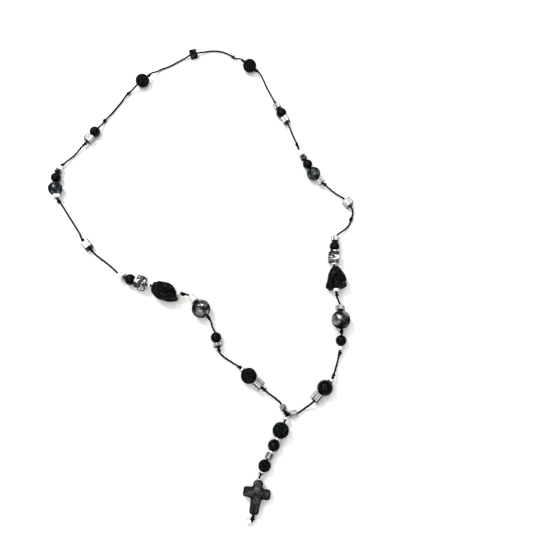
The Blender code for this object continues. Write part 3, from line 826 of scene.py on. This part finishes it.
def ball(name, length, width, sides=56, rows=28):
    radius, hole = width / 2, min(HOLE, width * 0.6) / 2
    rim = hole + 0.12
    begin = asin(min(0.95, rim / radius))
    outer = []
    for k in range(rows + 1):
        a = begin + (pi - 2 * begin) * k / rows
        outer.append((radius * sin(a), length / 2 * cos(a)))
    half = outer[0][1]
    inner = [(hole, -half + 0.12), (hole, half - 0.12)]
    return lathe(name, outer + inner, sides)


def rounded_ring(name, length, width, edge, sides=40, steps=5):
    """A disc or short tube with rounded edges."""
    radius, half, hole = width / 2, length / 2, min(HOLE, width * 0.55) / 2
    edge = min(edge, half * 0.95, (radius - hole) * 0.9)
    outer = [(hole, half)]
    for k in range(steps + 1):
        a = pi / 2 * k / steps
        outer.append((radius - edge + edge * sin(a), half - edge + edge * cos(a)))
    for k in range(steps + 1):
        a = pi / 2 * k / steps
        outer.append((radius - edge + edge * cos(a), -half + edge - edge * sin(a)))
    outer.append((hole, -half))
    return lathe(name, outer, sides)


def pitted(made, width, seed, depth, scale):
    """Pores of a volcanic stone pressed into a bead."""
    shift = Vector((seed * 7.3, seed * 3.1, seed * 5.7))
    for vert in made.data.vertices:
        out = vert.co.length
        if out < width * 0.42 * MM:
            continue
        p = vert.co / MM
        fine = noise.noise(p * scale + shift)
        broad = noise.noise(p * scale * 0.45 - shift)
        pore = max(0.0, fine - 0.12) * 2.2 + max(0.0, broad - 0.25) * 1.6
        vert.co *= 1.0 - min(pore, 1.0) * depth / (width / 2)
    made.data.update()


def box_grid(size, cells, edge, shape):
    """A box with rounded edges, as one closed grid; shape(point) moves its points."""
    verts, faces, seen = [], [], {}

    def vertex(p):
        key = tuple(round(c * 1e5) for c in p)
        if key not in seen:
            seen[key] = len(verts)
            half = [s / 2 for s in size]
            q = [p[i] * half[i] for i in range(3)]
            core = [max(-half[i] + edge, min(half[i] - edge, q[i])) for i in range(3)]
            away = Vector([q[i] - core[i] for i in range(3)])
            if away.length > 1e-9:
                away = away.normalized() * edge
            out = Vector(core) + away
            verts.append(shape(out) * MM)
        return seen[key]

    for axis in range(3):
        u, v = (axis + 1) % 3, (axis + 2) % 3
        for sign in (-1, 1):
            for i in range(cells):
                for j in range(cells):
                    corner = []
                    for di, dj in ((0, 0), (1, 0), (1, 1), (0, 1)):
                        p = [0.0, 0.0, 0.0]
                        p[axis] = float(sign)
                        p[u] = -1 + 2 * (i + di) / cells
                        p[v] = -1 + 2 * (j + dj) / cells
                        corner.append(vertex(p))
                    faces.append(tuple(corner if sign > 0 else reversed(corner)))
    return verts, faces


def drilled(made, length):
    """Cuts the cord's hole along Z."""
    cutter = mesh_object("cutter", *cylinder(HOLE / 2, length + 6))
    modifier = made.modifiers.new("hole", "BOOLEAN")
    modifier.operation = "DIFFERENCE"
    modifier.object = cutter
    graph = bpy.context.evaluated_depsgraph_get()
    mesh = bpy.data.meshes.new_from_object(made.evaluated_get(graph))
    made.modifiers.clear()
    old = made.data
    made.data = mesh
    bpy.data.meshes.remove(old)
    mesh.name = made.name
    bpy.data.objects.remove(cutter)
    return made


def cylinder(radius, length, sides=24):
    verts = []
    for z in (-length / 2, length / 2):
        verts += [Vector((radius * cos(2 * pi * k / sides), radius * sin(2 * pi * k / sides), z)) * MM
                  for k in range(sides)]
    faces = [tuple(range(sides - 1, -1, -1)), tuple(range(sides, 2 * sides))]
    faces += [(k, (k + 1) % sides, sides + (k + 1) % sides, sides + k) for k in range(sides)]
    return verts, faces


def cube(name, length, width, seed, groove=0.05, edge=0.38):
    """A cut metal cube: slightly out of square, with grooves along the cord and worn corners."""
    shift = Vector((seed * 3.7, seed * 9.1, seed * 1.3))

    def shape(p):
        flat = Vector((p.x, p.y, p.z * 0.15))
        lines = noise.noise(flat * 3.4 + shift) * groove
        dents = noise.noise(p * 0.55 + shift) * 0.10
        out = Vector((p.x, p.y, 0.0))
        if out.length > width * 0.3:
            out.normalize()
            p = p + out * (lines + dents)
        return p

    verts, faces = box_grid((width - 0.08, width - 0.08, length - 0.04), 18, edge, shape)
    return drilled(mesh_object(name, verts, faces), length)


def nugget(name, length, width, seed, taper, offset, lean, lobes):
    """A rough crystal with long ribs and blunt ends. Each lobe (side, end, reach) carries the stone
    on past its hole, on one side of it."""
    shape = bmesh.new()
    bmesh.ops.create_icosphere(shape, subdivisions=6, radius=1.0)
    shift = Vector((seed * 2.3, seed * 4.7, seed * 1.9))
    for vert in shape.verts:
        d = vert.co.normalized()
        z = (abs(d.z) ** 0.6) * (1 if d.z > 0 else -1)
        across = sqrt(max(0.0, 1 - abs(z) ** (4.6 if taper * z > 0.1 else 3.0)))
        out = Vector((d.x, d.y, 0.0))
        out = out.normalized() if out.length > 1e-6 else Vector((1, 0, 0))
        profile = 1.0 + taper * z
        side = max(abs(out.x), abs(out.y))
        facet = 1.0 / (0.30 + 0.70 * side)
        ribs = noise.noise(Vector((out.x * 3.2, out.y * 3.2, z * 0.9)) + shift) * 0.15
        ribs -= abs(noise.noise(Vector((out.x * 6.0, out.y * 6.0, z * 1.4)) - shift)) * 0.17
        ribs -= abs(noise.noise(Vector((out.x * 13.0, out.y * 13.0, z * 4.5)) + shift)) * 0.09
        lumps = 0.08 + noise.noise(d * 1.6 + shift) * 0.14 + noise.noise(d * 7.0 - shift) * 0.05
        reach = across * profile * (0.93 * facet * 0.93 + ribs + lumps)
        end = 1.0 + 0.07 * noise.noise(Vector((d.x * 2.5, d.y * 2.5, 3.0)) + shift) - 0.03
        side_way = out.x * reach * width * 0.455 + offset
        up = z * length / 2 * end - lean * side_way
        for side, tip, lobe in lobes:
            beyond = min(1.0, max(0.0, side * side_way - 1.6) / 2.2)
            up += tip * lobe * beyond * max(0.0, tip * z) ** 3
        depth = max(-UNDERSIDE, out.y * reach * width * 0.415)
        vert.co = Vector((side_way, depth, up)) * MM
    mesh = bpy.data.meshes.new(name)
    shape.to_mesh(mesh)
    shape.free()
    made = bpy.data.objects.new(name, mesh)
    bpy.context.scene.collection.objects.link(made)
    return drilled(made, length)


def stone_cross(name, length, width):
    """A carved stone cross with soft corners, its stem along Z from the top."""
    half, arm, thick = length / 2, CROSS_ARM, CARVED_THICKNESS
    top, foot, side = CROSS_TOP_WIDTH / 2, CROSS_FOOT_WIDTH / 2, width / 2
    middle = -half + CROSS_ARM_AT
    shape = bmesh.new()
    outline = [(top, -half), (top + 0.1, middle - arm / 2), (side, middle - arm / 2 + 0.1),
               (side, middle + arm / 2 - 0.1), (top + 0.3, middle + arm / 2), (foot, half)]
    ring = outline + [(-x, z) for x, z in reversed(outline)]
    front = [shape.verts.new(Vector((x, -thick / 2, z))) for x, z in ring]
    back = [shape.verts.new(Vector((x, thick / 2, z))) for x, z in ring]
    shape.faces.new(front)
    shape.faces.new(list(reversed(back)))
    for k in range(len(ring)):
        n = (k + 1) % len(ring)
        shape.faces.new((front[n], front[k], back[k], back[n]))
    bmesh.ops.recalc_face_normals(shape, faces=shape.faces)
    bmesh.ops.bevel(shape, geom=shape.edges[:], offset=0.95, segments=3, profile=0.5,
                    affect="EDGES", clamp_overlap=True)
    bmesh.ops.triangulate(shape, faces=shape.faces)
    for _ in range(3):
        long_edges = [e for e in shape.edges if e.calc_length() > 0.6]
        bmesh.ops.subdivide_edges(shape, edges=long_edges, cuts=1, use_grid_fill=False)
        bmesh.ops.triangulate(shape, faces=[f for f in shape.faces if len(f.verts) > 3])
    shift = Vector((5.1, 2.2, 8.8))
    shape.normal_update()
    moved = []
    for vert in shape.verts:
        p = vert.co
        amount = noise.noise(p * 0.55 + shift) * 0.16 + noise.noise(p * 1.6 - shift) * 0.07
        amount += min(0.0, noise.noise(p * 3.1 + shift)) * 0.10
        moved.append((vert, p + vert.normal * (amount - 0.05)))
    for vert, p in moved:
        vert.co = p * MM
    mesh = bpy.data.meshes.new(name)
    shape.to_mesh(mesh)
    shape.free()
    made = bpy.data.objects.new(name, mesh)
    bpy.context.scene.collection.objects.link(made)
    return drilled(made, length)


def bead(name, shape, length, width, seed):
    kind = name.split("_")[0]
    if shape == "ball":
        made = ball(name, length, width, *((96, 60) if kind == "lava" else (56, 30)))
        if kind == "lava":
            pitted(made, width, seed, 0.26, 1.15)
        return made, 60
    if shape == "drum":
        return rounded_ring(name, length, width, 0.7), 60
    if shape == "disc":
        return rounded_ring(name, length, width, 0.3), 60
    if shape == "cube":
        groove = {"silver": 0.07, "hematite": 0.03, "quartz": 0.02}[kind]
        return cube(name, length, width, seed, groove, 0.5 if kind == "quartz" else 0.38), 40
    if shape == "nugget":
        return nugget(name, length, width, seed, -0.06, 1.4, 0.2, [(1, -1, 2.4)]), 35
    if shape == "drop":
        return nugget(name, length, width, seed, 0.42, 0.4, 0.08, [(1, 1, 0.3), (-1, 1, 1.1)]), 35
    return stone_cross(name, length, width), 40


joints = {j["child"]: j for j in frame["joints"]}


def placed(made, at, way, roll=0.0):
    """Lays a bead with its hole along a direction, turned about it."""
    made.matrix_world = Matrix.Translation(at) @ (
        way.to_track_quat("Z", "Y").to_matrix().to_4x4()) @ Matrix.Rotation(radians(roll), 4, "Z")
    return made


def lay_bead(item, at, way, body, seed):
    """A bead of the model, on its own hinge where it has one."""
    name, shape, length, width, roll = item
    made, sharp = bead(name, shape, LONGER.get(name, length), width, seed)
    if name in joints:
        at, way, body = Vector(joints[name]["pos_m"]), Vector(joints[name]["axis"]), name
    placed(made, at, way, roll)
    finish_piece(made, LOOKS.get(name, name.split("_")[0]), body, sharp)
    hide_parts(name)


def lay_small_beads(item, at, way, body, seed):
    """The small beads on a stretch of open cord, spread evenly along it. They ride on the cord."""
    stretch, beads = item
    spare = (stretch - sum(part[2] for part in beads)) / (len(beads) + 1)
    along = -stretch / 2
    for name, shape, length, width in beads:
        along += spare + length / 2
        made, sharp = bead(name, shape, length, width, seed)
        kind = name.split("_")[0]
        placed(made, at + way * along * MM, way)
        finish_piece(made, "bright" if kind == "silver" else kind, body, sharp)
        along += length / 2


seed = 0
knots = 0
for body, route in ROUTES.items():
    for _, _, way, items in stations(route):
        for item, centre in items:
            seed += 1
            if item == "knot":
                knots += 1
                at_centre = (centre - centre_knot).length < 0.1 * MM
                knot(f"knot_{knots:02d}", centre, way, body,
                     CENTRE_KNOT_SIZE if at_centre else KNOT_SIZE, seed * 1.3)
            elif isinstance(item[0], float):
                lay_small_beads(item, centre, way, body, seed)
            else:
                lay_bead(item, centre, way, body, seed)


# ---------------------------------------------------------------- floor and light
FLOOR_HALF = 2
FLOOR_CLEARANCE = 0.1 * MM
corners = [(x * FLOOR_HALF, y * FLOOR_HALF, 0) for x, y in ((-1, -1), (1, -1), (1, 1), (-1, 1))]
floor_mesh = bpy.data.meshes.new("floor")
floor_mesh.from_pydata(corners, [], [(0, 1, 2, 3)])
floor = bpy.data.objects.new("floor", floor_mesh)
floor.location.z = -FLOOR_CLEARANCE
bpy.context.scene.collection.objects.link(floor)
floor_paint, _, _ = node_material("floor", (0.88, 0.88, 0.88), 0.9)
floor_mesh.materials.append(floor_paint)

world = bpy.data.worlds.new("studio")
world.use_nodes = True
world.node_tree.nodes["Background"].inputs["Color"].default_value = (1.0, 0.99, 0.965, 1.0)
world.node_tree.nodes["Background"].inputs["Strength"].default_value = 0.5
bpy.context.scene.world = world


def area(name, location, size, power):
    """A soft rectangular light aimed at the object."""
    light = bpy.data.lights.new(name, "AREA")
    light.shape = "RECTANGLE"
    light.size, light.size_y = size
    light.energy = power
    made = bpy.data.objects.new(name, light)
    made.location = location
    made.rotation_euler = (-Vector(location)).to_track_quat("-Z", "Y").to_euler()
    bpy.context.scene.collection.objects.link(made)


WINDOW_SIZE = (0.18, 0.24)
area("window_left", (-0.35, 0.35, 0.75), WINDOW_SIZE, 4.2)
area("window_right", (0.22, 0.42, 0.75), WINDOW_SIZE, 1.6)
area("ceiling", (-0.2, -0.35, 1.0), (1.4, 1.1), 8.0)

bpy.context.scene.view_settings.view_transform = "Standard"
